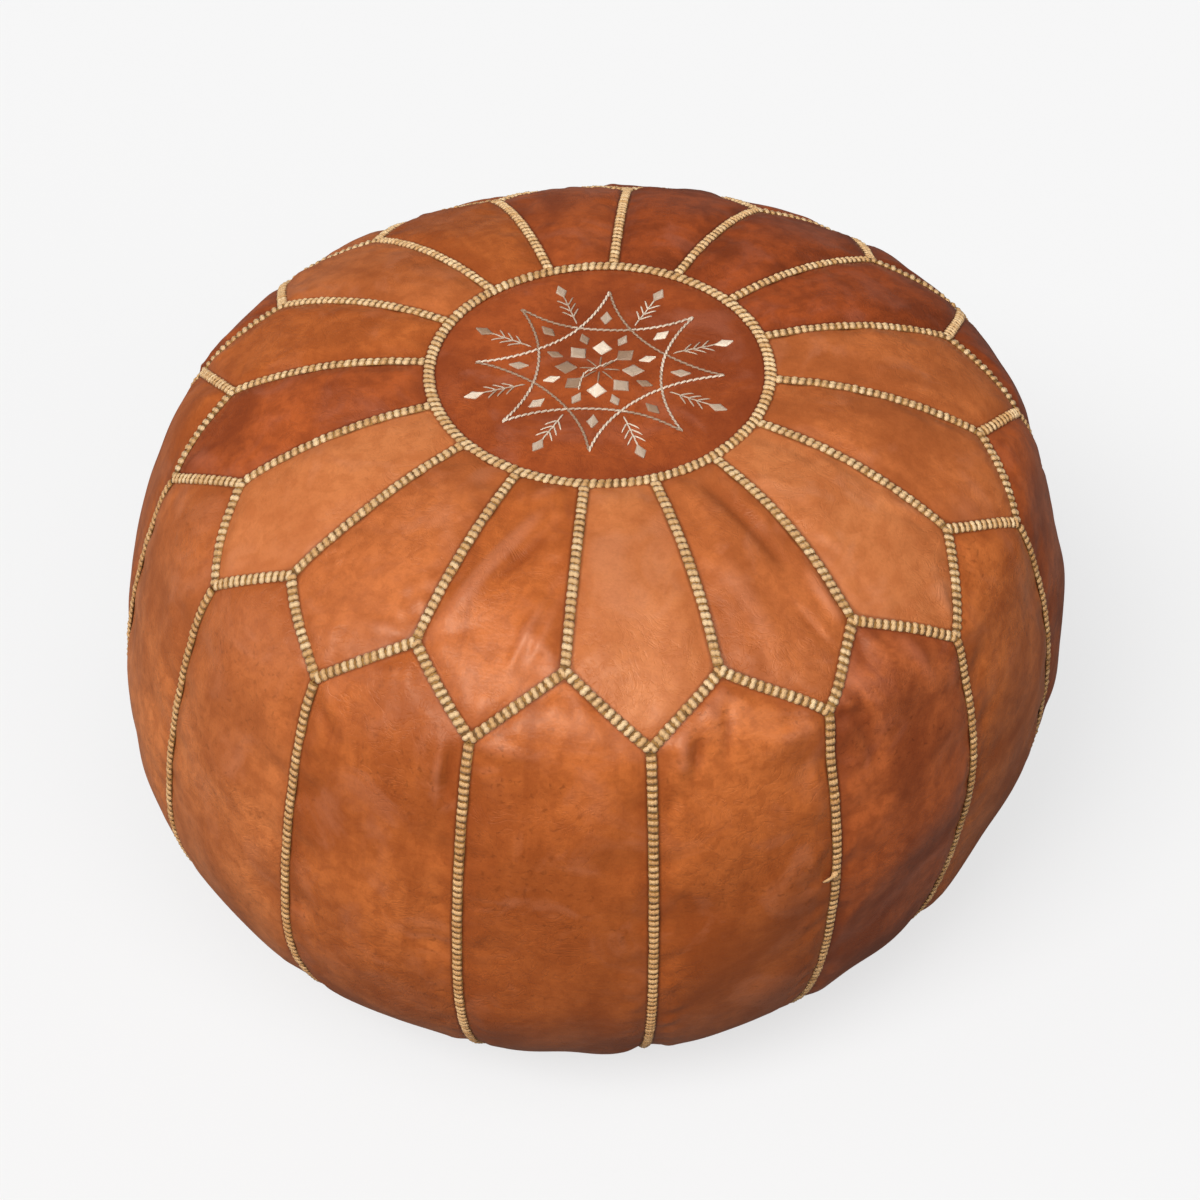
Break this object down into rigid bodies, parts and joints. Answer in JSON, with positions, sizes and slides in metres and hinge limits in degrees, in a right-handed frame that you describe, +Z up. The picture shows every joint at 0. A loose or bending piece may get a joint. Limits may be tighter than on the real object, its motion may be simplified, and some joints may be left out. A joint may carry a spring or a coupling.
{
  "type": "moroccan leather pouf",
  "caption": "Round stuffed leather floor pouf with whip-stitched petals and side panels, an embroidered medallion on top and a brass zip in the base.",
  "frame": {"origin": "on the floor under the centre of the pouf", "axes": "+Z up along the pouf's axis; X along the zip in the base, Y across it"},
  "size_m": [0.53, 0.53, 0.342],
  "materials": {
    "medallion_leather": "rust-brown dyed goatskin, soft satin",
    "petal_leather": "tan dyed goatskin, mottled, soft satin",
    "side_leather": "tan dyed goatskin, mottled, soft satin",
    "base_leather": "tan dyed goatskin, plain",
    "gold_thread": "waxed gold-beige thread in close whip stitches",
    "cream_thread": "shiny cream and bronze embroidery thread",
    "cotton_lining": "unbleached cotton",
    "wadding": "loose cotton wadding",
    "zip_tape": "brown woven tape",
    "zip_brass": "antique brass"
  },
  "bodies": {
    "pouf": {"medallion": "medallion_leather", "petal_01": "petal_leather", "petal_02": "petal_leather", "petal_03": "petal_leather", "petal_04": "petal_leather", "petal_05": "petal_leather", "petal_06": "petal_leather", "petal_07": "petal_leather", "petal_08": "petal_leather", "petal_09": "petal_leather", "petal_10": "petal_leather", "petal_11": "petal_leather", "petal_12": "petal_leather", "petal_13": "petal_leather", "petal_14": "petal_leather", "petal_15": "petal_leather", "petal_16": "petal_leather", "side_panel_01": "side_leather", "side_panel_02": "side_leather", "side_panel_03": "side_leather", "side_panel_04": "side_leather", "side_panel_05": "side_leather", "side_panel_06": "side_leather", "side_panel_07": "side_leather", "side_panel_08": "side_leather", "side_panel_09": "side_leather", "side_panel_10": "side_leather", "side_panel_11": "side_leather", "side_panel_12": "side_leather", "side_panel_13": "side_leather", "side_panel_14": "side_leather", "side_panel_15": "side_leather", "side_panel_16": "side_leather", "base_panel_left": "base_leather", "base_panel_right": "base_leather", "zip_end_tab_front": "base_leather", "zip_end_tab_back": "base_leather", "zip_facing_left": "base_leather", "zip_facing_right": "base_leather", "medallion_stitching": "gold_thread", "petal_stitching": "gold_thread", "zigzag_stitching": "gold_thread", "side_stitching": "gold_thread", "base_stitching": "gold_thread", "embroidered_star": "cream_thread", "embroidered_points": "cream_thread", "embroidered_rosette": "cream_thread", "embroidered_sprigs": "cream_thread", "lining_top": "cotton_lining", "lining_side": "cotton_lining", "lining_base": "cotton_lining", "stuffing": "wadding", "zip_tape_left": "zip_tape", "zip_tape_right": "zip_tape", "zip_teeth_left": "zip_brass", "zip_teeth_right": "zip_brass", "zip_stops": "zip_brass"},
    "slider": {"zip_slider": "zip_brass"},
    "pull": {"zip_pull": "zip_brass"}
  },
  "joints": [
    {"name": "zip_slide", "type": "slide", "parent": "pouf", "child": "slider", "axis": [1, 0, 0], "range_m": [0, 0.184]},
    {"name": "pull_swing", "type": "hinge", "parent": "slider", "child": "pull", "pos_m": [-0.092, 0, 0.00235], "axis": [0, 1, 0], "range_deg": [0, 180]}
  ]
}
